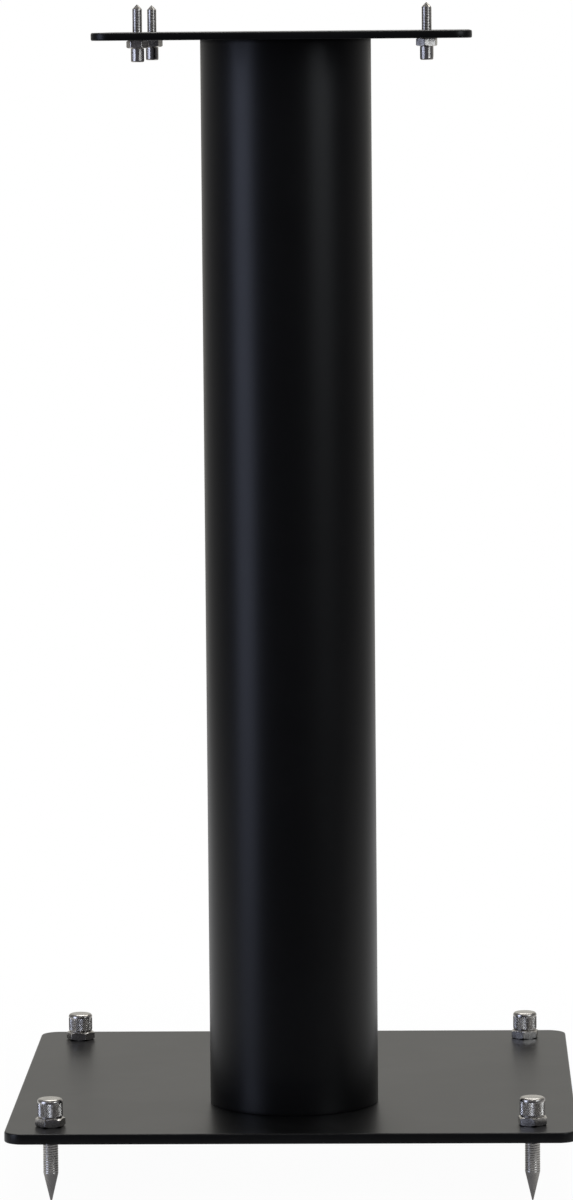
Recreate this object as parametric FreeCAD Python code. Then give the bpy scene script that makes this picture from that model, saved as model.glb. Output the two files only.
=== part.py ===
import FreeCAD, Part
import math
import os

# A speaker stand: one round column between two square plates, on four
# threaded floor spikes, with four upward spikes under the speaker.
# Millimetres. +Z is up and the front of the stand faces -Y. The origin is
# on the floor, under the centre of the base plate.

# Base plate
base_plate_side = 296.0
base_plate_thickness = 5.5
base_plate_corner_radius = 10.0
base_plate_edge_radius = 0.8
base_spike_inset = 23.0         # plate edge to spike axis

# Top plate
top_plate_side = 193.0
top_plate_thickness = 4.0
top_plate_corner_radius = 10.0
top_plate_edge_radius = 0.8
top_spike_inset = 23.0          # plate edge to spike axis

# Column
column_length = 560.0
column_diameter = 88.9
column_wall = 3.0
column_forward = 57.5           # column axis ahead of the base plate's centre
end_disc_thickness = 10.0
end_disc_gap = 0.15             # radial gap that the weld fills

# Plate screws, countersunk, through each plate into a column end disc
plate_screw_count = 4
plate_screw_circle = 52.0
plate_screw_diameter = 6.0
plate_screw_length = 13.0
plate_screw_head_diameter = 12.0
plate_screw_head_sink = 0.2     # head face below the plate's face
plate_screw_socket = 4.0        # hexagon key size
plate_screw_socket_depth = 2.0

# Floor spikes
base_thread_diameter = 7.9      # over the thread crests
base_spike_reach = 34.5         # point to the underside of the base plate
base_point_length = 15.5
base_point_flat = 0.6           # diameter of the blunt tip
base_head_diameter = 13.3
base_head_height = 10.0
base_head_rounding = 1.6
base_nut_across_flats = 14.0
base_nut_height = 4.5

# Speaker spikes
top_thread_diameter = 4.9       # over the thread crests
top_spike_reach = 14.2          # point to the upper face of the top plate
top_point_length = 2.4
top_point_flat = 0.4            # diameter of the blunt tip
top_head_diameter = 6.8
top_head_height = 7.0
top_head_rounding = 0.8
top_nut_across_flats = 10.0
top_nut_height = 4.0

# Shared details
thread_clearance = 0.05         # radial, screw in a tapped hole or nut
nut_chamfer_angle = 30.0
nut_face_ratio = 0.95           # chamfer circle over across flats
cut_margin = 1.0                # how far a cutting tool passes a face

# The turn at which each nut came to rest, in degrees
base_nut_turns = {"front_left": -17.0, "front_right": 7.0, "rear_left": 24.0, "rear_right": -8.0}
top_nut_turns = {"front_left": -35.0, "front_right": -10.0, "rear_left": 38.0, "rear_right": 12.0}

corners = {"front_left": (-1, -1), "front_right": (1, -1), "rear_left": (-1, 1), "rear_right": (1, 1)}

up = FreeCAD.Vector(0, 0, 1)

# Heights
base_plate_bottom = base_spike_reach
base_plate_top = base_plate_bottom + base_plate_thickness
top_plate_bottom = base_plate_top + column_length
stand_height = top_plate_bottom + top_plate_thickness

# Places in plan. The front edges of the two plates line up.
column_y = -column_forward
top_plate_y = (top_plate_side - base_plate_side) / 2


def plate(side, thickness, corner_radius, edge_radius):
    """A square plate on z = 0, with round corners and softened edges."""
    solid = Part.makeBox(side, side, thickness, FreeCAD.Vector(-side / 2, -side / 2, 0))
    uprights = [e for e in solid.Edges if abs(e.tangentAt(e.FirstParameter).z) > 0.5]
    solid = solid.makeFillet(corner_radius, uprights)
    outlines = [e for e in solid.Edges if e.BoundBox.ZLength < thickness / 2]
    return solid.makeFillet(edge_radius, outlines)


def turned(outline):
    """A solid of revolution about Z from (radius, height) points."""
    points = [FreeCAD.Vector(r, 0, z) for r, z in outline]
    face = Part.Face(Part.makePolygon(points + points[:1]))
    return face.revolve(FreeCAD.Vector(), up, 360)


def hexagon(across_flats, height):
    """A hexagonal bar on z = 0 with one corner towards -Y."""
    radius = across_flats / math.sqrt(3)
    angles = [math.radians(60 * k - 90) for k in range(6)]
    points = [FreeCAD.Vector(radius * math.cos(a), radius * math.sin(a), 0) for a in angles]
    return Part.Face(Part.makePolygon(points + points[:1])).extrude(up * height)


def placed(shape, x, y, z, turn=0.0):
    """A copy of the shape, turned about Z and then moved."""
    copy = shape.copy()
    placement = FreeCAD.Placement(FreeCAD.Vector(x, y, z), FreeCAD.Rotation(up, turn))
    copy.Placement = placement.multiply(shape.Placement)
    return copy


def flipped(shape):
    """A copy of the shape, upside down about the X axis."""
    copy = shape.copy()
    copy.rotate(FreeCAD.Vector(), FreeCAD.Vector(1, 0, 0), 180)
    return copy


def spike(thread_diameter, grip, reach, point_length, point_flat, head_diameter, head_height, rounding):
    """A headed spike that points down, with its head standing on z = 0. The
    thread in the nut and plate, as long as the grip, and the free thread past
    them are two faces, so that a cap or sleeve has a face of its own to fit."""
    thread_radius = thread_diameter / 2
    tip = -grip - reach
    shank = turned([(0, tip), (point_flat / 2, tip), (thread_radius, tip + point_length),
                    (thread_radius, -grip), (thread_radius, 0), (0, 0)])
    head = Part.makeCylinder(head_diameter / 2, head_height)
    rims = [e for e in head.Edges if e.BoundBox.ZMin > head_height / 2 and e.Closed]
    return shank.fuse(head.makeFillet(rounding, rims))


def lock_nut(across_flats, height, thread_diameter):
    """A hexagon nut on z = 0, chamfered on both faces."""
    corner = across_flats / math.sqrt(3)
    face_radius = across_flats * nut_face_ratio / 2
    drop = (corner - face_radius) * math.tan(math.radians(nut_chamfer_angle))
    barrel = turned([(0, 0), (face_radius, 0), (corner, drop), (corner, height - drop),
                     (face_radius, height), (0, height)])
    bore = Part.makeCylinder(thread_diameter / 2 + thread_clearance, height + 2 * cut_margin,
                             FreeCAD.Vector(0, 0, -cut_margin))
    return hexagon(across_flats, height).common(barrel).cut(bore)


def countersink(gap=0.0):
    """The space of a plate screw that enters from above at z = 0, widened by the gap."""
    head_radius = plate_screw_head_diameter / 2 + gap
    screw_radius = plate_screw_diameter / 2 + gap
    head_top = -plate_screw_head_sink + (cut_margin if gap else 0)
    head_seat = -plate_screw_head_sink
    cone_end = head_seat - (plate_screw_head_diameter - plate_screw_diameter) / 2
    tip = -plate_screw_length - (cut_margin if gap else 0)
    outline = [(0, tip), (screw_radius, tip), (screw_radius, cone_end), (head_radius, head_seat)]
    if gap:
        outline.append((head_radius, head_top))
    outline.append((0, head_top))
    return turned(outline)


def plate_screw():
    """A countersunk socket screw that enters from above at z = 0."""
    socket = hexagon(plate_screw_socket, plate_screw_socket_depth + cut_margin)
    return countersink().cut(placed(socket, 0, 0, -plate_screw_head_sink - plate_screw_socket_depth))


def on_screw_circle(shape, z):
    """One copy of the shape for each plate screw, round the column's axis."""
    radius = plate_screw_circle / 2
    turns = [math.radians((k + 0.5) * 360 / plate_screw_count) for k in range(plate_screw_count)]
    return [placed(shape, radius * math.cos(t), column_y + radius * math.sin(t), z) for t in turns]


def corner_places(side, inset, centre_y):
    """Plan position of each corner spike, by name."""
    reach = side / 2 - inset
    return {name: (sx * reach, centre_y + sy * reach) for name, (sx, sy) in corners.items()}


def drilled(solid, places, diameter, low, high):
    """The solid with an upright hole at each place."""
    for x, y in places.values():
        hole = Part.makeCylinder(diameter / 2, high - low + 2 * cut_margin,
                                 FreeCAD.Vector(x, y, low - cut_margin))
        solid = solid.cut(hole)
    return solid


def build():
    """Every piece of the stand, by node name."""
    base_places = corner_places(base_plate_side, base_spike_inset, 0)
    top_places = corner_places(top_plate_side, top_spike_inset, top_plate_y)
    screw_space = countersink(thread_clearance)
    lower_spaces = on_screw_circle(flipped(screw_space), base_plate_bottom)
    upper_spaces = on_screw_circle(screw_space, stand_height)
    nodes = {}

    base_plate = plate(base_plate_side, base_plate_thickness, base_plate_corner_radius,
                       base_plate_edge_radius)
    base_plate = drilled(placed(base_plate, 0, 0, base_plate_bottom), base_places,
                         base_thread_diameter + 2 * thread_clearance, base_plate_bottom, base_plate_top)
    top_plate = plate(top_plate_side, top_plate_thickness, top_plate_corner_radius,
                      top_plate_edge_radius)
    top_plate = drilled(placed(top_plate, 0, top_plate_y, top_plate_bottom), top_places,
                        top_thread_diameter + 2 * thread_clearance, top_plate_bottom, stand_height)

    bore_radius = column_diameter / 2 - column_wall
    foot = FreeCAD.Vector(0, column_y, base_plate_top)
    tube = Part.makeCylinder(column_diameter / 2, column_length, foot)
    nodes["column_tube"] = tube.cut(Part.makeCylinder(bore_radius, column_length, foot))
    disc_radius = bore_radius - end_disc_gap
    lower_disc = Part.makeCylinder(disc_radius, end_disc_thickness, foot)
    upper_disc = Part.makeCylinder(disc_radius, end_disc_thickness,
                                   FreeCAD.Vector(0, column_y, top_plate_bottom - end_disc_thickness))

    nodes["base_plate"] = base_plate.cut(lower_spaces)
    nodes["lower_end_disc"] = lower_disc.cut(lower_spaces)
    nodes["base_plate_screws"] = Part.makeCompound(
        on_screw_circle(flipped(plate_screw()), base_plate_bottom))
    nodes["top_plate"] = top_plate.cut(upper_spaces)
    nodes["upper_end_disc"] = upper_disc.cut(upper_spaces)
    nodes["top_plate_screws"] = Part.makeCompound(on_screw_circle(plate_screw(), stand_height))

    base_grip = base_nut_height + base_plate_thickness
    base_spike = spike(base_thread_diameter, base_grip, base_spike_reach, base_point_length,
                       base_point_flat, base_head_diameter, base_head_height, base_head_rounding)
    base_nut = lock_nut(base_nut_across_flats, base_nut_height, base_thread_diameter)
    for name, (x, y) in base_places.items():
        nodes["base_spike_" + name] = placed(base_spike, x, y, base_plate_top + base_nut_height)
        nodes["base_lock_nut_" + name] = placed(base_nut, x, y, base_plate_top, base_nut_turns[name])

    top_grip = top_nut_height + top_plate_thickness
    top_spike = flipped(spike(top_thread_diameter, top_grip, top_spike_reach, top_point_length,
                              top_point_flat, top_head_diameter, top_head_height, top_head_rounding))
    top_nut = lock_nut(top_nut_across_flats, top_nut_height, top_thread_diameter)
    nut_seat = top_plate_bottom - top_nut_height
    for name, (x, y) in top_places.items():
        nodes["top_spike_" + name] = placed(top_spike, x, y, nut_seat)
        nodes["top_lock_nut_" + name] = placed(top_nut, x, y, nut_seat, top_nut_turns[name])
    return nodes


os.makedirs("parts", exist_ok=True)
for node, shape in build().items():
    shape.exportStep("parts/" + node + ".step")
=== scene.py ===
import math

import bmesh
import bpy
from bpy.props import FloatProperty, FloatVectorProperty, IntProperty, PointerProperty
from bpy.types import NodeSocket, Operator, Panel, PropertyGroup
from mathutils import Matrix, Vector


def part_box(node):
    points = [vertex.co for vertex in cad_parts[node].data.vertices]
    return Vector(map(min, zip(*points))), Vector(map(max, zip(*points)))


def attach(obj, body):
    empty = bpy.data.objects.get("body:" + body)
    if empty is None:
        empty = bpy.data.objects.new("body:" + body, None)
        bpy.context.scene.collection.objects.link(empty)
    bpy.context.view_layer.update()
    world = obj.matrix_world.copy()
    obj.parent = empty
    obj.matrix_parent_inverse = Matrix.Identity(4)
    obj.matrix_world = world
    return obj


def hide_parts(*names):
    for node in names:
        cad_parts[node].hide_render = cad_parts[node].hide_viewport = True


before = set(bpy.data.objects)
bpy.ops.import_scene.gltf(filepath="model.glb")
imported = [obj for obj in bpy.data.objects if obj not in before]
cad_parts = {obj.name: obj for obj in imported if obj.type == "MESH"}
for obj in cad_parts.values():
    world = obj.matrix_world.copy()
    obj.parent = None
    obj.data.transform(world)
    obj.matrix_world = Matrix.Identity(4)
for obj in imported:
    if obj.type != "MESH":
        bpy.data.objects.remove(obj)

bl_info = {
    "name": "Speaker Stand",
    "version": (1, 0, 0),
    "blender": (4, 5, 0),
    "location": "View3D > Sidebar > Speaker Stand",
    "description": "Dresses the packed frame of a single-column speaker stand",
    "category": "Add Mesh",
}

CORNERS = ("front_left", "front_right", "rear_left", "rear_right")
FULL_TURN = 2 * math.pi
UP = Vector((0, 0, 1))
AXIS = (0.0, 0.0)
LEVEL = 1e-6   # heights this close together are one height

FLOOR_SHANK_RADIUS = 0.00395
SPEAKER_SHANK_RADIUS = 0.00245

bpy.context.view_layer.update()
column_low, column_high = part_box("column_tube")


# What a user would change

class StandSizes(PropertyGroup):
    """Sizes of the details that the frame leaves plain"""
    plate_corner: FloatProperty(
        name="Plate corner radius", description="Radius of each plate's corners in plan",
        default=0.010, min=0.001, max=0.05, unit="LENGTH")
    plate_edge: FloatProperty(
        name="Plate edge radius", description="Rounding along each plate's edges",
        default=0.0008, min=0.0001, max=0.002, unit="LENGTH")
    column_wall: FloatProperty(
        name="Column wall", description="Thickness of the tube's wall",
        default=0.003, min=0.001, max=0.01, unit="LENGTH")
    floor_thread_pitch: FloatProperty(
        name="Floor spike pitch", description="Rise of the floor spikes' thread in one turn",
        default=0.00125, min=0.0005, max=0.003, unit="LENGTH")
    floor_thread_depth: FloatProperty(
        name="Floor spike thread depth", description="Crest to root of the floor spikes' thread",
        default=0.00013, min=0.00005, max=0.001, unit="LENGTH")
    speaker_thread_pitch: FloatProperty(
        name="Speaker spike pitch", description="Rise of the speaker spikes' thread in one turn",
        default=0.0008, min=0.0003, max=0.002, unit="LENGTH")
    speaker_thread_depth: FloatProperty(
        name="Speaker spike thread depth", description="Crest to root of the speaker spikes' thread",
        default=0.00006, min=0.00002, max=0.001, unit="LENGTH")
    knurl_grooves: IntProperty(
        name="Knurl grooves", description="Grooves each way round the head of a floor spike",
        default=33, min=12, max=90)
    knurl_depth: FloatProperty(
        name="Knurl depth", description="Depth of the grooves of the diamond knurl",
        default=0.00034, min=0.00005, max=0.001, unit="LENGTH")
    flute_count: IntProperty(
        name="Flutes", description="Flutes round the head of a speaker spike",
        default=24, min=8, max=60)
    flute_depth: FloatProperty(
        name="Flute depth", description="Depth of the flutes of a speaker spike's head",
        default=0.00005, min=0.00002, max=0.001, unit="LENGTH")


class StandFinish(PropertyGroup):
    """Colours and finishes"""
    coat_color: FloatVectorProperty(
        name="Powder coat", description="Colour of the powder coat on the plates and column",
        default=(0.0022, 0.0022, 0.0023), min=0, max=1, size=3, subtype="COLOR")
    coat_roughness: FloatProperty(
        name="Coat roughness", description="How satin the powder coat is",
        default=0.35, min=0, max=1, subtype="FACTOR")
    coat_specular: FloatProperty(
        name="Coat gloss", description="Strength of the powder coat's sheen",
        default=0.2, min=0, max=1, subtype="FACTOR")
    nickel_color: FloatVectorProperty(
        name="Nickel", description="Colour of the plated spikes and nuts",
        default=(0.385, 0.368, 0.345), min=0, max=1, size=3, subtype="COLOR")
    nickel_roughness: FloatProperty(
        name="Nickel roughness", description="How dull the nickel plate is",
        default=0.24, min=0, max=1, subtype="FACTOR")
    steel_color: FloatVectorProperty(
        name="Bare steel", description="Colour of the uncoated steel",
        default=(0.42, 0.41, 0.40), min=0, max=1, size=3, subtype="COLOR")
    screw_color: FloatVectorProperty(
        name="Screw black", description="Colour of the black oxide on the plate screws",
        default=(0.018, 0.018, 0.020), min=0, max=1, size=3, subtype="COLOR")


class StandStage(PropertyGroup):
    """Floor, backdrop, lamps and camera"""
    floor_color: FloatVectorProperty(
        name="Floor", description="Colour of the pale floor",
        default=(0.72, 0.72, 0.72), min=0, max=1, size=3, subtype="COLOR")
    floor_shadow: FloatProperty(
        name="Floor shadow", description="How much of the stand's shadow the white floor shows",
        default=0.03, min=0, max=1, subtype="FACTOR")
    room_level: FloatProperty(
        name="Room level", description="Brightness of the room on the camera's side",
        default=0.12, min=0, max=1)
    window_power: FloatProperty(
        name="Window lamp", description="Power of the cool lamp at the front left",
        default=23.5, min=0, max=500, unit="POWER")
    side_power: FloatProperty(
        name="Side lamp", description="Power of the lamp at the front right",
        default=12.0, min=0, max=500, unit="POWER")
    overhead_power: FloatProperty(
        name="Overhead lamp", description="Power of the wide lamp above the stand",
        default=32.0, min=0, max=500, unit="POWER")
    rim_power: FloatProperty(
        name="Rim lamp", description="Power of the small lamp high on the right",
        default=6.5, min=0, max=500, unit="POWER")
    fill_power: FloatProperty(
        name="Fill lamp", description="Power of the small lamp high at the front",
        default=2.4, min=0, max=500, unit="POWER")
    camera_lens: FloatProperty(
        name="Lens", description="Focal length of the camera",
        default=168.08, min=20, max=500, unit="CAMERA")


def sizes():
    """The scene's own sizes."""
    return bpy.context.scene.speaker_stand_sizes


def finish():
    """The scene's own colours and finishes."""
    return bpy.context.scene.speaker_stand_finish


def stage_settings():
    """The scene's own floor, lamp and lens settings."""
    return bpy.context.scene.speaker_stand_stage


# Shader nodes

def fill_inputs(tree, node, inputs):
    """Gives each named or numbered input its link or its value."""
    for socket, value in inputs.items():
        if isinstance(value, NodeSocket):
            tree.links.new(value, node.inputs[socket])
        else:
            node.inputs[socket].default_value = value


def add_node(tree, kind, inputs=None, **settings):
    """A node with its settings, its input values and its links."""
    node = tree.nodes.new(kind)
    for name, value in settings.items():
        setattr(node, name, value)
    fill_inputs(tree, node, inputs or {})
    return node


def ramp(tree, value, low, high, to_low=0.0, to_high=1.0):
    """The value mapped smoothly from one range to another."""
    node = add_node(tree, "ShaderNodeMapRange", {
        "Value": value, "From Min": low, "From Max": high, "To Min": to_low, "To Max": to_high},
        interpolation_type="SMOOTHSTEP")
    return node.outputs["Result"]


def math_node(tree, operation, a, b):
    """One operation on two values."""
    node = add_node(tree, "ShaderNodeMath", {0: a, 1: b}, operation=operation)
    return node.outputs["Value"]


def mixed_color(tree, factor, a, b):
    """Colour a where the factor is 0, and colour b where it is 1."""
    a, b = (color if isinstance(color, NodeSocket) else (*color, 1) for color in (a, b))
    node = add_node(tree, "ShaderNodeMix", {0: factor, 6: a, 7: b}, data_type="RGBA",
                    clamp_factor=True)
    return node.outputs[2]


def new_group(name, inputs, outputs):
    """An empty node group with named inputs (kind, default) and outputs."""
    tree = bpy.data.node_groups.new(name, "ShaderNodeTree")
    for label, (kind, default) in inputs.items():
        socket = tree.interface.new_socket(label, in_out="INPUT", socket_type=kind)
        if default is not None:
            socket.default_value = default
    for label, kind in outputs.items():
        tree.interface.new_socket(label, in_out="OUTPUT", socket_type=kind)
    entry = tree.nodes.new("NodeGroupInput")
    leave = tree.nodes.new("NodeGroupOutput")
    return tree, entry.outputs, leave.inputs


def grain_group():
    """Fine grain: small even bumps, and a slow patchy change of gloss."""
    tree, given, out = new_group(
        "Fine grain",
        {"Vector": ("NodeSocketVector", None), "Grain per metre": ("NodeSocketFloat", 900.0),
         "Patches per metre": ("NodeSocketFloat", 14.0)},
        {"Height": "NodeSocketFloat", "Patches": "NodeSocketFloat"})
    grain = add_node(tree, "ShaderNodeTexNoise", {
        "Vector": given["Vector"], "Scale": given["Grain per metre"], "Detail": 2.0, "Roughness": 0.55})
    patches = add_node(tree, "ShaderNodeTexNoise", {
        "Vector": given["Vector"], "Scale": given["Patches per metre"], "Detail": 4.0,
        "Roughness": 0.6, "Distortion": 0.4})
    tree.links.new(grain.outputs["Fac"], out["Height"])
    tree.links.new(ramp(tree, patches.outputs["Fac"], 0.3, 0.7), out["Patches"])
    return tree


def dust_group():
    """Dust: sparse small specks, thicker on faces that look up."""
    tree, given, out = new_group(
        "Settled dust",
        {"Vector": ("NodeSocketVector", None), "Specks per metre": ("NodeSocketFloat", 420.0),
         "Amount": ("NodeSocketFloat", 0.3)},
        {"Mask": "NodeSocketFloat"})
    cells = add_node(tree, "ShaderNodeTexVoronoi", {
        "Vector": given["Vector"], "Scale": given["Specks per metre"], "Randomness": 1.0},
        feature="F1")
    speck = ramp(tree, cells.outputs["Distance"], 0.05, 0.16, 1.0, 0.0)
    chosen = add_node(tree, "ShaderNodeSeparateColor", {"Color": cells.outputs["Color"]})
    few = ramp(tree, chosen.outputs["Red"], 0.80, 0.86)
    haze = add_node(tree, "ShaderNodeTexNoise", {
        "Vector": given["Vector"], "Scale": 60.0, "Detail": 5.0, "Roughness": 0.65})
    film = ramp(tree, haze.outputs["Fac"], 0.45, 0.75, 0.0, 0.35)
    surface = add_node(tree, "ShaderNodeNewGeometry")
    facing = add_node(tree, "ShaderNodeSeparateXYZ", {"Vector": surface.outputs["Normal"]})
    upward = ramp(tree, facing.outputs["Z"], 0.3, 1.0, 0.12, 1.0)
    both = math_node(tree, "MAXIMUM", math_node(tree, "MULTIPLY", speck, few), film)
    shown = math_node(tree, "MULTIPLY", math_node(tree, "MULTIPLY", both, upward), given["Amount"])
    tree.links.new(shown, out["Mask"])
    return tree


def wear_group():
    """Rubbed edges: the sharp outer edges of a piece, broken up by a scuff pattern."""
    tree, given, out = new_group(
        "Rubbed edges",
        {"Vector": ("NodeSocketVector", None), "Scuffs per metre": ("NodeSocketFloat", 260.0),
         "Amount": ("NodeSocketFloat", 0.5)},
        {"Mask": "NodeSocketFloat"})
    edge = add_node(tree, "ShaderNodeAttribute", attribute_name="edge_wear", attribute_type="GEOMETRY")
    scuffs = add_node(tree, "ShaderNodeTexNoise", {
        "Vector": given["Vector"], "Scale": given["Scuffs per metre"], "Detail": 5.0, "Roughness": 0.7})
    broken = ramp(tree, scuffs.outputs["Fac"], 0.42, 0.66)
    mask = math_node(tree, "MULTIPLY", math_node(tree, "MULTIPLY", edge.outputs["Fac"], broken),
                     given["Amount"])
    tree.links.new(mask, out["Mask"])
    return tree


GROUP_MAKERS = {"Fine grain": grain_group, "Settled dust": dust_group, "Rubbed edges": wear_group}


def placed_group(tree, name, inputs):
    """The outputs of a shared node group, which is made when it is first asked for."""
    group = bpy.data.node_groups.get(name) or GROUP_MAKERS[name]()
    node = tree.nodes.new("ShaderNodeGroup")
    node.node_tree = group
    fill_inputs(tree, node, inputs)
    return node.outputs


def new_material(name):
    """A material with its tree, its Principled BSDF and its Object coordinates."""
    material = bpy.data.materials.new(name)
    material.use_nodes = True
    tree = material.node_tree
    shader = next(n for n in tree.nodes if n.type == "BSDF_PRINCIPLED")
    where = tree.nodes.new("ShaderNodeTexCoord").outputs["Object"]
    return material, tree, shader, where


def bump(tree, shader, height, distance):
    """Bumps of this height in metres on the whole surface."""
    node = add_node(tree, "ShaderNodeBump", {"Height": height, "Distance": distance, "Strength": 1.0})
    tree.links.new(node.outputs["Normal"], shader.inputs["Normal"])


PEEL_HEIGHT = 0.000004
COAT_SHADES = (0.85, 1.2)
COAT_SATIN_CHANGE = 0.006
RUBBED_COAT = (0.02, 0.02, 0.021)
DUST_ON_COAT = (0.05, 0.049, 0.047)


def coat_material():
    """Satin black powder coat with orange peel, dust and rubbed edges."""
    found = bpy.data.materials.get("satin_black_powder_coat")
    if found:
        return found
    look = finish()
    material, tree, shader, where = new_material("satin_black_powder_coat")
    grain = placed_group(tree, "Fine grain", {
        "Vector": where, "Grain per metre": 1100.0, "Patches per metre": 16.0})
    dust = placed_group(tree, "Settled dust", {
        "Vector": where, "Specks per metre": 380.0, "Amount": 0.22})["Mask"]
    wear = placed_group(tree, "Rubbed edges", {
        "Vector": where, "Scuffs per metre": 230.0, "Amount": 0.5})["Mask"]
    darker, lighter = (tuple(c * share for c in look.coat_color) for share in COAT_SHADES)
    shade = mixed_color(tree, grain["Patches"], darker, lighter)
    rubbed = mixed_color(tree, wear, shade, RUBBED_COAT)
    dusty = mixed_color(tree, dust, rubbed, DUST_ON_COAT)
    tree.links.new(dusty, shader.inputs["Base Color"])
    shader.inputs["Specular IOR Level"].default_value = look.coat_specular
    rough = look.coat_roughness
    satin = ramp(tree, grain["Patches"], 0.0, 1.0, rough - COAT_SATIN_CHANGE, rough + COAT_SATIN_CHANGE)
    polished = math_node(tree, "SUBTRACT", satin, math_node(tree, "MULTIPLY", wear, 0.18))
    tree.links.new(math_node(tree, "ADD", polished, math_node(tree, "MULTIPLY", dust, 0.1)),
                   shader.inputs["Roughness"])
    bump(tree, shader, grain["Height"], PEEL_HEIGHT)
    return material


SCRATCH_HEIGHT = 0.000002
TURNED_RINGS = 22000.0   # radians of the ring pattern in one metre from the axis
HANDLED_SHADE = 0.86
BRIGHT_NICKEL = (0.64, 0.62, 0.59)
BRIGHT_STEEL = (0.6, 0.59, 0.58)
RUBBED_OXIDE = (0.10, 0.10, 0.10)


def plated_material(name, color, roughness, wear_color, turned=0.0):
    """Plated or turned metal with fine scratches, handling marks and bright crests."""
    found = bpy.data.materials.get(name)
    if found:
        return found
    material, tree, shader, where = new_material(name)
    grain = placed_group(tree, "Fine grain", {
        "Vector": where, "Grain per metre": 5200.0, "Patches per metre": 160.0})
    wear = placed_group(tree, "Rubbed edges", {
        "Vector": where, "Scuffs per metre": 900.0, "Amount": 0.8})["Mask"]
    shade = mixed_color(tree, grain["Patches"], tuple(c * HANDLED_SHADE for c in color), color)
    tree.links.new(mixed_color(tree, wear, shade, wear_color), shader.inputs["Base Color"])
    shader.inputs["Metallic"].default_value = 1.0
    dull = ramp(tree, grain["Patches"], 0.0, 1.0, roughness + 0.06, roughness - 0.03)
    tree.links.new(math_node(tree, "SUBTRACT", dull, math_node(tree, "MULTIPLY", wear, 0.06)),
                   shader.inputs["Roughness"])
    height = grain["Height"]
    if turned:
        ring = add_node(tree, "ShaderNodeAttribute", attribute_name="axis_distance",
                        attribute_type="GEOMETRY")
        lines = math_node(tree, "SINE", math_node(tree, "MULTIPLY", ring.outputs["Fac"], turned), 0.0)
        height = math_node(tree, "ADD", height, math_node(tree, "MULTIPLY", lines, 0.5))
    bump(tree, shader, height, SCRATCH_HEIGHT)
    return material


def nickel_material():
    """The spikes' and nuts' plating, with turned rings on flat ends."""
    look = finish()
    return plated_material("bright_nickel_plate", tuple(look.nickel_color), look.nickel_roughness,
                           BRIGHT_NICKEL, turned=TURNED_RINGS)


def steel_material():
    """Uncoated steel in the tapped holes and on the discs inside the column."""
    look = finish()
    return plated_material("turned_bare_steel", tuple(look.steel_color), 0.34, BRIGHT_STEEL)


def screw_material():
    """Black oxide on the plate screws."""
    look = finish()
    return plated_material("black_oxide_screw", tuple(look.screw_color), 0.42, RUBBED_OXIDE)


# Mesh building

DOUBLES = 0.000008
SOFT_EDGE, SHARP_EDGE = math.radians(12), math.radians(38)


def moved_verts(made):
    """The vertices of an operator's result."""
    return [g for g in made if isinstance(g, bmesh.types.BMVert)]


def ring_edges(verts):
    """The edges that run between these vertices, in the same order each run."""
    chosen = set(verts)
    return list(dict.fromkeys(e for v in verts for e in v.link_edges if e.other_vert(v) in chosen))


def circle(bm, centre, radius, z, segments):
    """The edges of an open circle."""
    made = bmesh.ops.create_circle(bm, cap_ends=False, radius=radius, segments=segments,
                                   matrix=Matrix.Translation((centre[0], centre[1], z)))
    return ring_edges(made["verts"])


def next_ring(bm, edges, move):
    """Extrudes a ring of edges and puts each new vertex where move says."""
    made = bmesh.ops.extrude_edge_only(bm, edges=edges)["geom"]
    for vert in moved_verts(made):
        vert.co = move(vert.co.copy())
    return [g for g in made if isinstance(g, bmesh.types.BMEdge) and g.is_boundary]


def round_ring(bm, edges, centre, radius, z):
    """The next ring, on a circle of this radius at this height."""
    def move(point):
        flat = Vector((point.x - centre[0], point.y - centre[1])).normalized() * radius
        return Vector((centre[0] + flat.x, centre[1] + flat.y, z))
    return next_ring(bm, edges, move)


def fill_between(bm, edges):
    """A flat face with holes between rings that lie in one plane."""
    bmesh.ops.triangle_fill(bm, use_beauty=True, use_dissolve=False, edges=edges)


def spun(bm, outline, centre, steps):
    """A chain of (radius, height) points turned a full circle about an upright axis."""
    verts = [bm.verts.new((centre[0] + r, centre[1], z)) for r, z in outline]
    edges = [bm.edges.new(pair) for pair in zip(verts, verts[1:])]
    bmesh.ops.spin(bm, geom=verts + edges, cent=(centre[0], centre[1], 0), axis=UP,
                   angle=FULL_TURN, steps=steps, use_merge=True)


def arc(centre_r, centre_z, radius, start, end, steps):
    """(radius, height) points along a quarter or so of a round edge, in degrees."""
    turns = [math.radians(start + (end - start) * k / steps) for k in range(steps + 1)]
    return [(centre_r + radius * math.cos(t), centre_z + radius * math.sin(t)) for t in turns]


def mark_edges(bm, centres):
    """Stores how sharp each vertex's outward edges are, and how far it is from the piece's axis."""
    worn = bm.verts.layers.float.new("edge_wear")
    away = bm.verts.layers.float.new("axis_distance")
    for vert in bm.verts:
        angles = [e.calc_face_angle_signed(0.0) for e in vert.link_edges if len(e.link_faces) == 2]
        turn = max(angles, default=0.0)
        vert[worn] = min(1.0, max(0.0, (turn - SOFT_EDGE) / (SHARP_EDGE - SOFT_EDGE)))
        vert[away] = min(math.hypot(vert.co.x - x, vert.co.y - y) for x, y in centres)


def finished(bm, name, body, node, materials, crisp=32.0, centres=(AXIS,)):
    """Makes the piece: doubles merged, faces outward, and edges crisp past an angle in degrees.

    It rides on its body, and the node it is built after is hidden.
    """
    bmesh.ops.remove_doubles(bm, verts=bm.verts, dist=DOUBLES)
    bmesh.ops.recalc_face_normals(bm, faces=bm.faces)
    bm.normal_update()
    limit = math.radians(crisp)
    for face in bm.faces:
        face.smooth = True
    for edge in bm.edges:
        edge.smooth = edge.calc_face_angle(0.0) < limit
    mark_edges(bm, centres)
    mesh = bpy.data.meshes.new(name)
    bm.to_mesh(mesh)
    bm.free()
    piece = bpy.data.objects.new(name, mesh)
    bpy.context.scene.collection.objects.link(piece)
    for material in materials:
        mesh.materials.append(material)
    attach(piece, body)
    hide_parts(node)
    return piece


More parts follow.
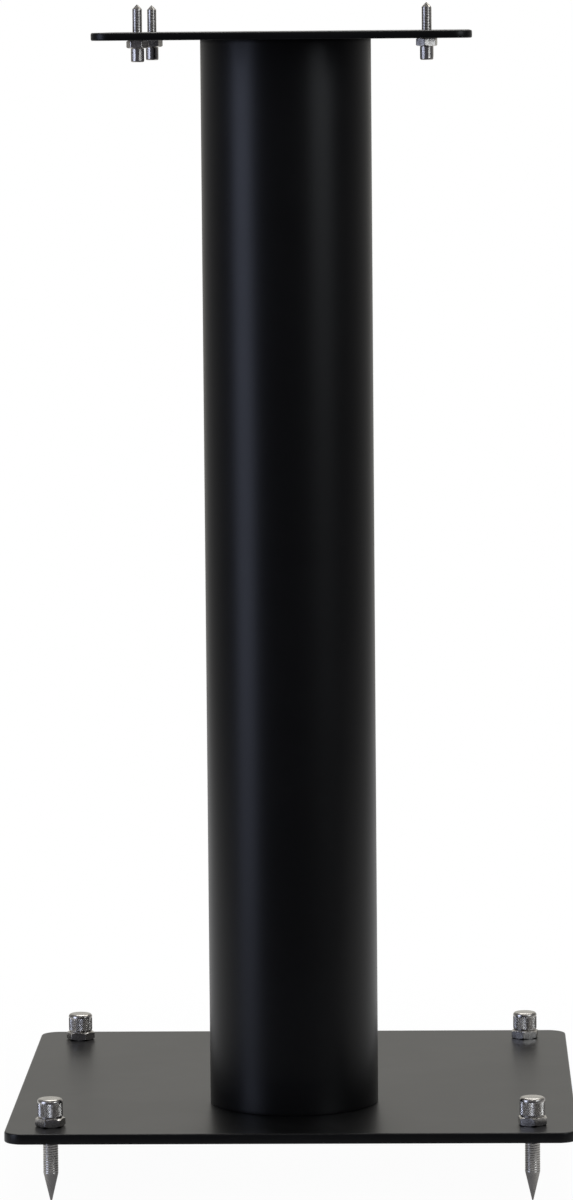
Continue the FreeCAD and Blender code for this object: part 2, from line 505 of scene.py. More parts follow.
def centre_of(node):
    """The middle of a node in plan."""
    low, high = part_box(node)
    return ((low.x + high.x) / 2, (low.y + high.y) / 2)


# Plates

TAP_GAP = 0.00005
TAP_CHAMFER = 0.0003
SCREW_CIRCLE = 0.026
SINK_RADIUS = 0.00605
SINK_DEPTH = 0.00025
SCREW_HOLE_RADIUS = 0.00305
FLAT_RIM = 0.0008   # narrow faces round holes and edges, which keep edge wear off the flat faces
CORNER_STEPS, EDGE_STEPS, HOLE_STEPS = 14, 4, 40


def screw_places():
    """Where the plate screws stand, round the column's axis."""
    x, y = centre_of("column_tube")
    turns = [math.radians(45 + 90 * k) for k in range(4)]
    return [(x + SCREW_CIRCLE * math.cos(t), y + SCREW_CIRCLE * math.sin(t)) for t in turns]


def is_level(part, z):
    """Whether an edge or a face lies at this height."""
    return all(abs(v.co.z - z) < LEVEL for v in part.verts)


def rounded_slab(bm, node):
    """The plate without its holes: corners rounded in plan, then the edges of both faces."""
    size = sizes()
    low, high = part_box(node)
    bmesh.ops.create_grid(bm, x_segments=1, y_segments=1, size=(high.x - low.x) / 2,
                          matrix=Matrix.Translation((*centre_of(node), low.z)))
    raised = bmesh.ops.extrude_face_region(bm, geom=bm.faces[:])["geom"]
    bmesh.ops.translate(bm, vec=UP * (high.z - low.z), verts=moved_verts(raised))
    bmesh.ops.recalc_face_normals(bm, faces=bm.faces)
    uprights = [e for e in bm.edges if not is_level(e, low.z) and not is_level(e, high.z)]
    bmesh.ops.bevel(bm, geom=uprights, offset=size.plate_corner, offset_type="OFFSET",
                    segments=CORNER_STEPS, profile=0.5, affect="EDGES", material=-1)
    outline = [e for e in bm.edges if is_level(e, low.z) or is_level(e, high.z)]
    bmesh.ops.bevel(bm, geom=outline, offset=size.plate_edge, offset_type="OFFSET",
                    segments=EDGE_STEPS, profile=0.5, affect="EDGES", material=-1)


def through_hole(bm, centre, steps):
    """An open hole through a plate from (radius, height) steps, with a flat rim at each end.

    Returns the outer rings of both rims.
    """
    first = ring = circle(bm, centre, steps[0][0] + FLAT_RIM, steps[0][1], HOLE_STEPS)
    for radius, z in steps + [(steps[-1][0] + FLAT_RIM, steps[-1][1])]:
        ring = round_ring(bm, ring, centre, radius, z)
    return first, ring


def tapped_holes(bm, node, places, radius):
    """Bare steel holes for the spikes, chamfered at both faces."""
    low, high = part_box(node)
    coated = set(bm.faces)
    holes = [through_hole(bm, place, [
        (radius + TAP_CHAMFER, low.z), (radius, low.z + TAP_CHAMFER),
        (radius, high.z - TAP_CHAMFER), (radius + TAP_CHAMFER, high.z)]) for place in places]
    for face in bm.faces:
        heights = [v.co.z for v in face.verts]
        in_hole = face not in coated and max(heights) - min(heights) > TAP_CHAMFER / 2
        face.material_index = 1 if in_hole else 0
    return holes


def sunk_holes(bm, node, from_above):
    """Countersunk holes for the plate screws."""
    low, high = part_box(node)
    inward = -1 if from_above else 1
    sunk_face, far_face = (high.z, low.z) if from_above else (low.z, high.z)
    cone_end = sunk_face + inward * (SINK_DEPTH + SINK_RADIUS - SCREW_HOLE_RADIUS)
    return [through_hole(bm, place, [
        (SINK_RADIUS, sunk_face), (SINK_RADIUS, sunk_face + inward * SINK_DEPTH),
        (SCREW_HOLE_RADIUS, cone_end), (SCREW_HOLE_RADIUS, far_face)]) for place in screw_places()]


def open_face(bm, z, holes):
    """Replaces one flat face of the plate with a face round the rims of its holes."""
    flat = max((f for f in bm.faces if is_level(f, z)), key=lambda f: f.calc_area())
    bmesh.ops.inset_region(bm, faces=[flat], thickness=FLAT_RIM, use_even_offset=True)
    edges = list(flat.edges)
    bmesh.ops.delete(bm, geom=[flat], context="FACES_ONLY")
    for first, last in holes:
        edges += [e for e in first + last if is_level(e, z)]
    fill_between(bm, edges)


def make_plate(node, spikes, shank_radius, sunk_from_above):
    """A rounded plate with tapped holes for its spikes and countersunk screw holes."""
    bm = bmesh.new()
    rounded_slab(bm, node)
    taps = [centre_of(spikes + corner) for corner in CORNERS]
    holes = tapped_holes(bm, node, taps, shank_radius + TAP_GAP)
    holes += sunk_holes(bm, node, sunk_from_above)
    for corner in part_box(node):
        open_face(bm, corner.z, holes)
    return finished(bm, node + "_coated", "stand", node,
                    [coat_material(), steel_material()])


class SPEAKERSTAND_OT_plates(Operator):
    """Make the base plate and the top plate"""
    bl_idname = "speaker_stand.plates"
    bl_label = "Plates"

    def execute(self, context):
        make_plate("base_plate", "base_spike_", FLOOR_SHANK_RADIUS, sunk_from_above=False)
        make_plate("top_plate", "top_spike_", SPEAKER_SHANK_RADIUS, sunk_from_above=True)
        return {"FINISHED"}


# Column

COLUMN_STEPS = 320
COLUMN_END_ROUNDING = 0.00035
COLUMN_RIM = 0.002   # a ring this far from each end keeps edge wear off the long wall


def column_outline():
    """The closed outline of the tube's wall, as (radius, height) points."""
    outer = (column_high.x - column_low.x) / 2
    inner = outer - sizes().column_wall
    low, high = column_low.z, column_high.z
    rounding, rim = COLUMN_END_ROUNDING, COLUMN_RIM
    outline = (arc(outer - rounding, low + rounding, rounding, -90, 0, 3)
               + [(outer, low + rim), (outer, high - rim)]
               + arc(outer - rounding, high - rounding, rounding, 0, 90, 3)
               + arc(inner + rounding, high - rounding, rounding, 90, 180, 2)
               + [(inner, high - rim), (inner, low + rim)]
               + arc(inner + rounding, low + rounding, rounding, 180, 270, 2))
    return outline + outline[:1]


class SPEAKERSTAND_OT_column(Operator):
    """Make the column tube and finish the steel discs inside its ends"""
    bl_idname = "speaker_stand.column"
    bl_label = "Column"

    def execute(self, context):
        bm = bmesh.new()
        spun(bm, column_outline(), centre_of("column_tube"), COLUMN_STEPS)
        finished(bm, "column_coated", "stand", "column_tube", [coat_material()])
        for node in ("lower_end_disc", "upper_end_disc"):
            dress_node(node, steel_material())
        return {"FINISHED"}


def dress_node(node, material):
    """Gives a node of the frame its finish."""
    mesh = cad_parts[node].data
    if not mesh.materials:
        mesh.materials.append(material)
    for k in range(len(mesh.materials)):
        mesh.materials[k] = material


# Threads and spikes

THREAD_STEPS = 40
THREAD_FILLET = 0.18   # the root's rounding, as a share of the depth
RUN_OUT = 0.25         # where the thread stops short of the cone, in pitches
SHOULDER_STEP = 0.00002
CONE_RINGS = (0.06, 0.4, 0.8, 0.97)   # shares of the cone's length
TIP_ROUNDING = 0.00003
NECK_FADE = 0.0001


def thread_outline(crest, depth):
    """One turn of a thread with a wide crest, as (radius, share of the pitch) points."""
    root = crest - depth
    fillet = root + depth * THREAD_FILLET
    return [(crest, 0.0), (crest, 0.42), (fillet, 0.60), (root, 0.66), (root, 0.76), (fillet, 0.82),
            (crest, 1.0)]


def add_thread(bm, low, high, crest, depth, pitch):
    """An open right-hand thread about Z between two heights. Returns its lower and upper rings."""
    weld, cut, near = 0.01 * pitch, 0.004 * pitch, 0.03 * pitch
    start = low - 1.5 * pitch
    turns = math.ceil((high - start) / pitch) + 1
    verts = [bm.verts.new((r, 0, start + share * pitch)) for r, share in thread_outline(crest, depth)]
    edges = [bm.edges.new(pair) for pair in zip(verts, verts[1:])]
    bmesh.ops.spin(bm, geom=verts + edges, cent=(0, 0, 0), axis=UP, dvec=UP * (pitch / THREAD_STEPS),
                   angle=FULL_TURN, steps=THREAD_STEPS, use_merge=False)
    first_turn = bm.verts[:] + bm.edges[:] + bm.faces[:]
    for k in range(1, turns):
        copy = bmesh.ops.duplicate(bm, geom=first_turn)["geom"]
        bmesh.ops.translate(bm, vec=UP * (k * pitch), verts=moved_verts(copy))
    bmesh.ops.remove_doubles(bm, verts=bm.verts, dist=weld)
    for z, side in ((low, -1), (high, 1)):
        bmesh.ops.bisect_plane(bm, geom=bm.verts[:] + bm.edges[:] + bm.faces[:], dist=cut,
                               plane_co=(0, 0, z), plane_no=(0, 0, side), clear_outer=True)
    rings = []
    for z in (low, high):
        rings.append([e for e in bm.edges if e.is_boundary
                      and all(abs(v.co.z - z) < near for v in e.verts)])
        for edge in rings[-1]:
            for vert in edge.verts:
                vert.co.z = z
    return rings


def close_ring(bm, edges):
    """Caps a ring with triangles that meet at its middle, and returns the middle vertex."""
    faces = bmesh.ops.edgeloop_fill(bm, edges=edges)["faces"]
    return bmesh.ops.poke(bm, faces=faces)["verts"][0]


def add_shank(bm, length, point, flat, neck, radius, thread_depth, pitch):
    """Neck, thread, cone and tip below the head's underside at z = 0. Returns the ring under the head.

    point is the cone's length, flat the width of its blunt tip, and neck the plain length.
    """
    shoulder = point - length
    lower, upper = add_thread(bm, shoulder + pitch * RUN_OUT, -neck, radius, thread_depth, pitch)
    ring = round_ring(bm, lower, AXIS, radius - SHOULDER_STEP, shoulder)
    tip_radius = flat / 2
    for share in CONE_RINGS:
        cone_radius = radius + (tip_radius - radius) * share
        ring = round_ring(bm, ring, AXIS, cone_radius, shoulder - point * share)
    ring = round_ring(bm, ring, AXIS, tip_radius * 0.75, -length + TIP_ROUNDING)
    ring = round_ring(bm, ring, AXIS, tip_radius * 0.35, -length)
    close_ring(bm, ring)
    neck_radius = radius - thread_depth
    ring = round_ring(bm, upper, AXIS, neck_radius, -neck + NECK_FADE)
    return round_ring(bm, ring, AXIS, neck_radius, 0.0)


def column_of(vert, columns):
    """Which of the upright lines round a head a vertex is on."""
    return round(math.atan2(vert.co.y, vert.co.x) % FULL_TURN / FULL_TURN * columns) % columns


HEAD_DOUBLES = 0.000005
CREST_FLAT = 0.22        # the flat on each diamond's tip, as a share of the rings' spacing
DIAMOND_STRETCH = 1.05   # a diamond's height to its width
FLUTE_FULLNESS = 0.6     # under 1, the flutes are wide and the ribs between them narrow


def face_rings(spacing, count, height):
    """The end of a head's outline: rings to the middle of its flat face."""
    return [(spacing * k, height) for k in range(count, -1, -1)]


def add_head(bm, outline, columns):
    """A turned head on z = 0. Returns its lowest ring."""
    before = set(bm.verts)
    spun(bm, outline, AXIS, columns)
    made = [v for v in bm.verts if v not in before]
    bmesh.ops.remove_doubles(bm, verts=made, dist=HEAD_DOUBLES)
    return [e for e in bm.edges if e.is_boundary and is_level(e, 0.0)
            and e.verts[0].co.xy.length > outline[0][0] * 0.99]


def on_side(vert, radius):
    """Whether a vertex is on the side of a head and not under it or on its face."""
    return vert.co.xy.length > radius * 0.97


def pressed_to(vert, radius):
    """Puts a vertex at this distance from the axis, straight inwards."""
    vert.co.xy = vert.co.xy.normalized() * radius


def knurl(bm, radius, depth, low, step, rows, columns):
    """Cuts a diamond knurl into the band of rings above low, step apart."""
    grooves, crests = set(), []
    for vert in bm.verts:
        row = round((vert.co.z - low) / step)
        on_ring = abs(vert.co.z - low - row * step) < 0.02 * step
        if not (on_side(vert, radius) and on_ring and 0 <= row <= rows):
            continue
        deep = (row + column_of(vert, columns)) % 2 == 0
        at_end = row in (0, rows)
        if deep or at_end:
            pressed_to(vert, radius - depth)
        if deep:
            grooves.add(vert)
        elif not at_end:
            crests.append(vert)
    for face in list(bm.faces):
        ends = [v for v in face.verts if v in grooves]
        if len(face.verts) == 4 and len(ends) == 2 and not any(
                e.other_vert(ends[0]) is ends[1] for e in ends[0].link_edges):
            bmesh.utils.face_split(face, ends[0], ends[1])
    bmesh.ops.bevel(bm, geom=crests, offset=step * CREST_FLAT, offset_type="OFFSET", segments=1,
                    profile=0.5, affect="VERTICES", material=-1)


def flute(bm, radius, depth, low, high, count, columns):
    """Presses upright flutes into the side of a head."""
    share = columns // count
    for vert in bm.verts:
        if low < vert.co.z < high and on_side(vert, radius):
            place = column_of(vert, columns) % share / share
            pressed = 0.5 - 0.5 * math.cos(FULL_TURN * place)
            pressed_to(vert, radius - depth * pressed ** FLUTE_FULLNESS)


def floor_spike_mesh(node):
    """A knurled floor spike with its axis on Z and its point down at z = 0."""
    size = sizes()
    low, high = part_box(node)
    length = high.z - low.z
    radius, head_height, rounding = (high.x - low.x) / 2, 0.010, 0.0016
    bm = bmesh.new()
    neck_ring = add_shank(
        bm, length=length - head_height, point=0.0155, flat=0.0006, neck=0.0006,
        radius=FLOOR_SHANK_RADIUS, thread_depth=size.floor_thread_depth,
        pitch=size.floor_thread_pitch)
    columns = 2 * size.knurl_grooves
    step = FULL_TURN * radius / columns * DIAMOND_STRETCH
    chamfer, chamfer_height = 0.00045, 0.0003
    band_low, band_gap, band_fade = 0.00055, 0.0003, 0.00018
    rows = int((head_height - rounding - band_gap - band_low) / step)
    band_high = band_low + rows * step
    plain = radius - 0.00006
    outline = [(radius - chamfer, 0.0), (radius - size.knurl_depth, chamfer_height)]
    outline += [(radius, band_low + k * step) for k in range(rows + 1)]
    outline += [(plain, band_high + band_fade)]
    outline += arc(plain - rounding, head_height - rounding, rounding, 8, 90, 8)
    outline += face_rings(0.001, 4, head_height)
    head_ring = add_head(bm, outline, columns)
    knurl(bm, radius, size.knurl_depth, band_low, step, rows, columns)
    fill_between(bm, head_ring + neck_ring)
    bmesh.ops.translate(bm, verts=bm.verts, vec=UP * (length - head_height))
    return bm


def turned_over(bm):
    """Turns everything upside down about X."""
    bmesh.ops.rotate(bm, verts=bm.verts, cent=(0, 0, 0), matrix=Matrix.Rotation(math.pi, 3, "X"))


def speaker_spike_mesh(node):
    """A fluted speaker spike with its axis on Z and its head down at z = 0."""
    size = sizes()
    low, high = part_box(node)
    length = high.z - low.z
    radius, head_height, rounding = (high.x - low.x) / 2, 0.007, 0.0008
    bm = bmesh.new()
    neck_ring = add_shank(
        bm, length=length - head_height, point=0.0024, flat=0.0004, neck=0.0004,
        radius=SPEAKER_SHANK_RADIUS, thread_depth=size.speaker_thread_depth,
        pitch=size.speaker_thread_pitch)
    columns = 4 * size.flute_count
    top = head_height - rounding
    plain = radius - 0.00002
    chamfer, flute_rows = 0.0003, 6
    flute_low, flute_high = 0.0006, top - 0.0002
    outline = [(radius - chamfer, 0.0), (plain, chamfer), (radius, flute_low)]
    outline += [(radius, flute_low + (top - flute_low - chamfer) * k / flute_rows)
                for k in range(1, flute_rows + 1)]
    outline += [(plain, top - 0.00005)]
    outline += arc(plain - rounding, top, rounding, 8, 90, 7)
    outline += face_rings(0.0006, 3, head_height)
    head_ring = add_head(bm, outline, columns)
    flute(bm, radius, size.flute_depth, flute_low - LEVEL, flute_high, size.flute_count, columns)
    fill_between(bm, head_ring + neck_ring)
    turned_over(bm)
    bmesh.ops.translate(bm, verts=bm.verts, vec=UP * head_height)
    return bm


def place_spikes(pattern, start, ending):
    """A copy of one spike at each corner."""
    for corner in CORNERS:
        node = start + corner
        bm = pattern.copy()
        bmesh.ops.translate(bm, verts=bm.verts, vec=(*centre_of(node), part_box(node)[0].z))
        finished(bm, node + ending, node, node, [nickel_material()],
                 crisp=24.0, centres=(centre_of(node),))
    pattern.free()


class SPEAKERSTAND_OT_floor_spikes(Operator):
    """Make the four knurled floor spikes"""
    bl_idname = "speaker_stand.floor_spikes"
    bl_label = "Floor Spikes"

    def execute(self, context):
        place_spikes(floor_spike_mesh("base_spike_front_left"), "base_spike_", "_knurled")
        return {"FINISHED"}


class SPEAKERSTAND_OT_speaker_spikes(Operator):
    """Make the four fluted speaker spikes"""
    bl_idname = "speaker_stand.speaker_spikes"
    bl_label = "Speaker Spikes"

    def execute(self, context):
        place_spikes(speaker_spike_mesh("top_spike_front_left"), "top_spike_", "_fluted")
        return {"FINISHED"}


# Lock nuts

def corner_turn(node):
    """The direction of one corner of a nut, from the frame."""
    x, y = centre_of(node)
    far = max(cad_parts[node].data.vertices, key=lambda v: math.hypot(v.co.x - x, v.co.y - y))
    return math.atan2(far.co.y - y, far.co.x - x)


SIXTH_TURN = math.pi / 3
NUT_COLUMNS = 96
NUT_CORNER_NEAR = math.radians(24.4)   # columns past this angle from a flat's middle move to the
NUT_FLAT_END = math.radians(28.6)      # flat's end, so that each corner is a narrow sharp strip,
NUT_CORNER_ITSELF = math.radians(29.4)   # and the column on the corner stays
NUT_CORNER_TRIM = 0.985
NUT_FACE_SHARE = 0.95                  # a face's width to the width across flats
NUT_CHAMFER_SLOPE = math.tan(math.radians(30))
NUT_BORE_CHAMFER = 0.0005
# The start of each set's node names, its width across flats and its bore's radius
LOCK_NUTS = (("base_lock_nut_", 0.014, 0.004), ("top_lock_nut_", 0.010, 0.0025))


def lock_nut_mesh(node, across_flats, bore):
    """A hexagon nut, chamfered on both faces, with a countersunk bore."""
    low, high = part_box(node)
    height = high.z - low.z
    corner_radius = across_flats / math.sqrt(3) * NUT_CORNER_TRIM
    face_radius = across_flats * NUT_FACE_SHARE / 2
    bm = bmesh.new()

    def flank(top):
        def move(point):
            angle = math.atan2(point.y, point.x)
            off_flat = angle % SIXTH_TURN - SIXTH_TURN / 2
            if NUT_CORNER_NEAR < abs(off_flat) < NUT_CORNER_ITSELF:
                edge = math.copysign(NUT_FLAT_END, off_flat)
                angle, off_flat = angle + edge - off_flat, edge
            radius = min(across_flats / 2 / math.cos(off_flat), corner_radius)
            drop = (radius - face_radius) * NUT_CHAMFER_SLOPE
            return Vector((radius * math.cos(angle), radius * math.sin(angle),
                           height - drop if top else drop))
        return move

    first = circle(bm, AXIS, face_radius, height, NUT_COLUMNS)
    ring = next_ring(bm, first, flank(True))
    ring = next_ring(bm, ring, flank(False))
    ring = round_ring(bm, ring, AXIS, face_radius, 0.0)
    mouth = bore + NUT_BORE_CHAMFER
    for radius, z in ((mouth, 0.0), (bore, NUT_BORE_CHAMFER), (bore, height - NUT_BORE_CHAMFER),
                      (mouth, height)):
        ring = round_ring(bm, ring, AXIS, radius, z)
    bmesh.ops.bridge_loops(bm, edges=first + ring)
    bmesh.ops.rotate(bm, verts=bm.verts, cent=(0, 0, 0),
                     matrix=Matrix.Rotation(corner_turn(node), 3, "Z"))
    bmesh.ops.translate(bm, verts=bm.verts, vec=(*centre_of(node), low.z))
    return bm


class SPEAKERSTAND_OT_lock_nuts(Operator):
    """Make the lock nuts of the floor spikes and speaker spikes"""
    bl_idname = "speaker_stand.lock_nuts"
    bl_label = "Lock Nuts"

    def execute(self, context):
        for start, across_flats, bore in LOCK_NUTS:
            for corner in CORNERS:
                node = start + corner
                bm = lock_nut_mesh(node, across_flats, bore)
                finished(bm, node + "_chamfered", node, node, [nickel_material()],
                         crisp=8.0, centres=(centre_of(node),))
        return {"FINISHED"}


# Plate screws

SCREW_FACE_RADIUS = 0.0059
SCREW_HEAD_RADIUS = 0.00596
SCREW_EDGE = 0.00005
SCREW_SHANK_RADIUS = 0.003
SCREW_CONE_HEIGHT = 0.003
SCREW_LENGTH = 0.013
SCREW_TIP_CHAMFER = 0.0006
SCREW_SUNK = 0.0002     # how far the head is below the plate's face
SOCKET_FLATS = 0.004
SOCKET_DEPTH = 0.0022
SOCKET_CHAMFER = 0.0002
SOCKET_POINT = 0.0005   # how much deeper the drilled middle of the socket is


def screw_mesh():
    """A countersunk socket screw that enters from above at z = 0."""
    bm = bmesh.new()
    head = circle(bm, AXIS, SCREW_FACE_RADIUS, -SCREW_SUNK, 48)
    socket_radius = SOCKET_FLATS / math.sqrt(3)
    socket = circle(bm, AXIS, socket_radius + SOCKET_CHAMFER / 2, -SCREW_SUNK, 6)
    fill_between(bm, head + socket)
    ring = round_ring(bm, socket, AXIS, socket_radius, -SCREW_SUNK - SOCKET_CHAMFER)
    ring = round_ring(bm, ring, AXIS, socket_radius, -SOCKET_DEPTH)
    close_ring(bm, ring).co.z -= SOCKET_POINT
    ring = head
    for radius, z in ((SCREW_HEAD_RADIUS, -SCREW_SUNK - SCREW_EDGE),
                      (SCREW_SHANK_RADIUS, -SCREW_SUNK - SCREW_CONE_HEIGHT),
                      (SCREW_SHANK_RADIUS, SCREW_TIP_CHAMFER - SCREW_LENGTH),
                      (SCREW_SHANK_RADIUS - SCREW_TIP_CHAMFER, -SCREW_LENGTH)):
        ring = round_ring(bm, ring, AXIS, radius, z)
    close_ring(bm, ring)
    return bm


def make_screws(node, z, from_above):
    """The four screws of one plate, as one piece."""
    bm = screw_mesh()
    if not from_above:
        turned_over(bm)
    one = bm.verts[:] + bm.edges[:] + bm.faces[:]
    places = screw_places()
    for place in places[1:]:
        copy = bmesh.ops.duplicate(bm, geom=one)["geom"]
        bmesh.ops.translate(bm, vec=(*place, z), verts=moved_verts(copy))
    bmesh.ops.translate(bm, vec=(*places[0], z), verts=moved_verts(one))
    finished(bm, node + "_sunk", "stand", node, [screw_material()], centres=places)


class SPEAKERSTAND_OT_plate_screws(Operator):
    """Make the countersunk screws of both plates"""
    bl_idname = "speaker_stand.plate_screws"
    bl_label = "Plate Screws"

    def execute(self, context):
        make_screws("base_plate_screws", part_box("base_plate")[0].z, from_above=False)
        make_screws("top_plate_screws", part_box("top_plate")[1].z, from_above=True)
        return {"FINISHED"}


# Stage

FLOOR_HALF_WIDTH = 1.1
FLOOR_MIDDLE_Y = 0.84        # the floor ends close before the stand, so its front mirrors little of it
FLOOR_MIRRORED = 0.62        # how white the floor behind the stand is in reflections
SHADOW_FULL, SHADOW_GONE = 0.25, 0.6   # distances from the stand's middle
BACKDROP_COLOR = (0.75, 0.738, 0.695)
ROOM_TINT = (0.96, 0.96, 1.12)


def floor_material():
    """Pale and rough for light that falls on it, and near white for the camera."""
    settings = stage_settings()
    material, tree, shader, where = new_material("pale_floor")
    mottle = add_node(tree, "ShaderNodeTexNoise", {"Vector": where, "Scale": 3.0, "Detail": 4.0})
    pale = tuple(settings.floor_color)
    tree.links.new(mixed_color(tree, mottle.outputs["Fac"], tuple(c * 0.98 for c in pale), pale),
                   shader.inputs["Base Color"])
    shader.inputs["Roughness"].default_value = 0.9
    shader.inputs["Specular IOR Level"].default_value = 0.1
    white = add_node(tree, "ShaderNodeEmission", {"Color": (1, 1, 1, 1), "Strength": 1.0})
    rays = tree.nodes.new("ShaderNodeLightPath").outputs
    place = add_node(tree, "ShaderNodeSeparateXYZ", {"Vector": where})
    behind = ramp(tree, place.outputs["Y"], -0.2, 0.05)
    mirrored = math_node(tree, "MULTIPLY", rays["Is Glossy Ray"],
                         math_node(tree, "MULTIPLY", behind, FLOOR_MIRRORED))
    seen = math_node(tree, "MAXIMUM", math_node(tree, "MAXIMUM", rays["Is Camera Ray"], mirrored),
                     rays["Is Transmission Ray"])
    spread = add_node(tree, "ShaderNodeVectorMath", {0: where}, operation="LENGTH")
    shaded = ramp(tree, spread.outputs["Value"], SHADOW_FULL, SHADOW_GONE, settings.floor_shadow, 0.0)
    share = math_node(tree, "MULTIPLY", seen, math_node(tree, "SUBTRACT", 1.0, shaded))
    both = add_node(tree, "ShaderNodeMixShader", {
        0: share, 1: shader.outputs["BSDF"], 2: white.outputs["Emission"]})
    output = next(n for n in tree.nodes if n.type == "OUTPUT_MATERIAL")
    tree.links.new(both.outputs["Shader"], output.inputs["Surface"])
    return material


def make_floor():
    """A wide floor at the spikes' points."""
    bm = bmesh.new()
    bmesh.ops.create_grid(bm, x_segments=24, y_segments=24, size=FLOOR_HALF_WIDTH,
                          matrix=Matrix.Translation((0, FLOOR_MIDDLE_Y, 0)))
    mesh = bpy.data.meshes.new("floor")
    bm.to_mesh(mesh)
    bm.free()
    floor = bpy.data.objects.new("floor", mesh)
    bpy.context.scene.collection.objects.link(floor)
    mesh.materials.append(floor_material())


def make_world():
    """White for the camera. Reflections see a bright backdrop behind the stand and a dim room before it."""
    settings = stage_settings()
    world = bpy.data.worlds.new("white_backdrop")
    bpy.context.scene.world = world
    world.use_nodes = True
    tree = world.node_tree
    background = next(n for n in tree.nodes if n.type == "BACKGROUND")
    direction = tree.nodes.new("ShaderNodeTexCoord").outputs["Generated"]
    level = add_node(tree, "ShaderNodeVectorMath", {0: direction, 1: (1, 1, 0)}, operation="MULTIPLY")
    across = add_node(tree, "ShaderNodeVectorMath", {0: level.outputs["Vector"]},
                      operation="NORMALIZE")
    compass = add_node(tree, "ShaderNodeSeparateXYZ", {"Vector": across.outputs["Vector"]})
    axes = add_node(tree, "ShaderNodeSeparateXYZ", {"Vector": direction})
    sheet = ramp(tree, compass.outputs["Y"], 0.80, 0.96, to_high=0.55)
    walls = ramp(tree, compass.outputs["Y"], -0.2, 0.85, to_high=0.45)
    backdrop = math_node(tree, "ADD", sheet, walls)
    ceiling = ramp(tree, axes.outputs["Z"], 0.0, 0.55, to_high=0.26)
    around = mixed_color(tree, math_node(tree, "MAXIMUM", backdrop, ceiling),
                         tuple(settings.room_level * tint for tint in ROOM_TINT), BACKDROP_COLOR)
    rays = tree.nodes.new("ShaderNodeLightPath").outputs
    seen = math_node(tree, "MAXIMUM", rays["Is Camera Ray"], rays["Is Transmission Ray"])
    tree.links.new(mixed_color(tree, seen, around, (1.0, 1.0, 1.0)), background.inputs["Color"])
    background.inputs["Strength"].default_value = 1.0


def add_lamp(name, power, azimuth, elevation, distance, size, color=(1.0, 1.0, 1.0)):
    """An area lamp that faces the stand's middle. Azimuth 0 is the stand's front, and left is negative."""
    middle = Vector((0, column_low.y / 2 + column_high.y / 2, column_high.z / 2))
    a, e = math.radians(azimuth), math.radians(elevation)
    way = Vector((math.sin(a) * math.cos(e), -math.cos(a) * math.cos(e), math.sin(e)))
    data = bpy.data.lights.new(name, "AREA")
    data.shape, data.size, data.size_y = "RECTANGLE", size[0], size[1]
    data.energy, data.color = power, color
    lamp = bpy.data.objects.new(name, data)
    bpy.context.scene.collection.objects.link(lamp)
    lamp.matrix_world = (Matrix.Translation(middle + way * distance)
                         @ way.to_track_quat("Z", "Y").to_matrix().to_4x4())


def make_lamps():
    """Two lamps low at the sides, one wide one overhead and two small ones high up."""
    settings = stage_settings()
    add_lamp("window", settings.window_power, azimuth=-60, elevation=8, distance=2.4,
             size=(1.1, 1.7), color=(0.67, 0.745, 1.0))
    add_lamp("side", settings.side_power, azimuth=50, elevation=17, distance=2.4,
             size=(1.15, 0.8), color=(0.90, 0.95, 1.0))
    add_lamp("overhead", settings.overhead_power, azimuth=180, elevation=64, distance=2.2,
             size=(1.6, 1.2))
    add_lamp("right_high", settings.rim_power, azimuth=112, elevation=53, distance=2.2,
             size=(0.5, 0.5), color=(1.0, 0.98, 0.92))
    add_lamp("front_high", settings.fill_power, azimuth=2, elevation=44, distance=2.4,
             size=(0.4, 0.45))


CAMERA_PLACE = (0.0786, -2.9848, 0.6085)
CAMERA_TURN, CAMERA_TILT, CAMERA_ROLL = 1.576, -5.886, -0.488


def make_camera():
    """The photo's view: in front of the stand at the height of its top plate, looking a little down."""
    data = bpy.data.cameras.new("camera")
    data.lens = stage_settings().camera_lens
    data.clip_start, data.clip_end = 0.1, 50.0
    camera = bpy.data.objects.new("camera", data)
    camera.matrix_world = (Matrix.Translation(CAMERA_PLACE)
                           @ Matrix.Rotation(math.radians(CAMERA_TURN), 4, "Z")
                           @ Matrix.Rotation(math.radians(90 + CAMERA_TILT), 4, "X")
                           @ Matrix.Rotation(math.radians(CAMERA_ROLL), 4, "Z"))
    bpy.context.scene.collection.objects.link(camera)
    bpy.context.scene.camera = camera


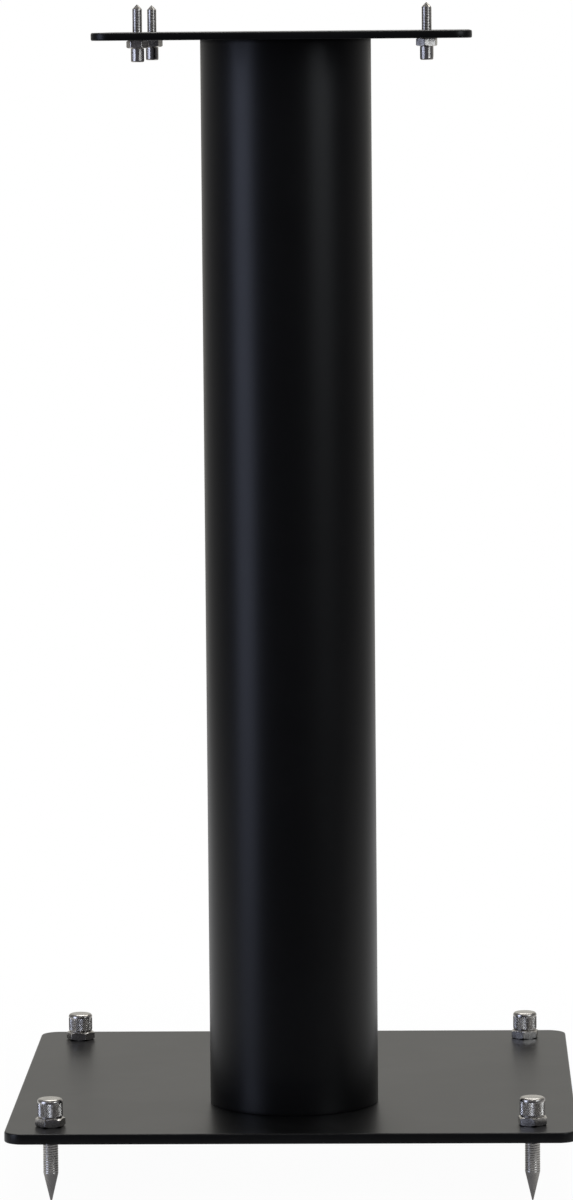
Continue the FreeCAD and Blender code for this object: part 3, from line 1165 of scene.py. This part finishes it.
class SPEAKERSTAND_OT_stage(Operator):
    """Make the floor, backdrop, lamps and camera"""
    bl_idname = "speaker_stand.stage"
    bl_label = "Stage"

    def execute(self, context):
        make_camera()
        make_floor()
        make_world()
        make_lamps()
        bpy.context.scene.view_settings.view_transform = "Standard"
        return {"FINISHED"}


class SPEAKERSTAND_PT_panel(Panel):
    """The pieces of the speaker stand"""
    bl_idname = "SPEAKERSTAND_PT_panel"
    bl_label = "Speaker Stand"
    bl_space_type = "VIEW_3D"
    bl_region_type = "UI"
    bl_category = "Speaker Stand"

    def draw(self, context):
        layout = self.layout
        for group in (sizes(), finish(), stage_settings()):
            box = layout.box()
            for name in group.bl_rna.properties.keys():
                if name not in ("rna_type", "name"):
                    box.prop(group, name)
        for operator in OPERATORS:
            layout.operator(operator.bl_idname)


OPERATORS = (SPEAKERSTAND_OT_plates, SPEAKERSTAND_OT_column, SPEAKERSTAND_OT_floor_spikes,
             SPEAKERSTAND_OT_speaker_spikes, SPEAKERSTAND_OT_lock_nuts, SPEAKERSTAND_OT_plate_screws,
             SPEAKERSTAND_OT_stage)
GROUPS = {"speaker_stand_sizes": StandSizes, "speaker_stand_finish": StandFinish,
          "speaker_stand_stage": StandStage}


def register():
    for name, group in GROUPS.items():
        bpy.utils.register_class(group)
        setattr(bpy.types.Scene, name, PointerProperty(type=group))
    for operator in OPERATORS:
        bpy.utils.register_class(operator)
    bpy.utils.register_class(SPEAKERSTAND_PT_panel)


def unregister():
    bpy.utils.unregister_class(SPEAKERSTAND_PT_panel)
    for operator in reversed(OPERATORS):
        bpy.utils.unregister_class(operator)
    for name, group in GROUPS.items():
        delattr(bpy.types.Scene, name)
        bpy.utils.unregister_class(group)


def main():
    register()
    bpy.ops.speaker_stand.plates()
    bpy.ops.speaker_stand.column()
    bpy.ops.speaker_stand.floor_spikes()
    bpy.ops.speaker_stand.speaker_spikes()
    bpy.ops.speaker_stand.lock_nuts()
    bpy.ops.speaker_stand.plate_screws()
    bpy.ops.speaker_stand.stage()


if __name__ == "__main__":
    main()
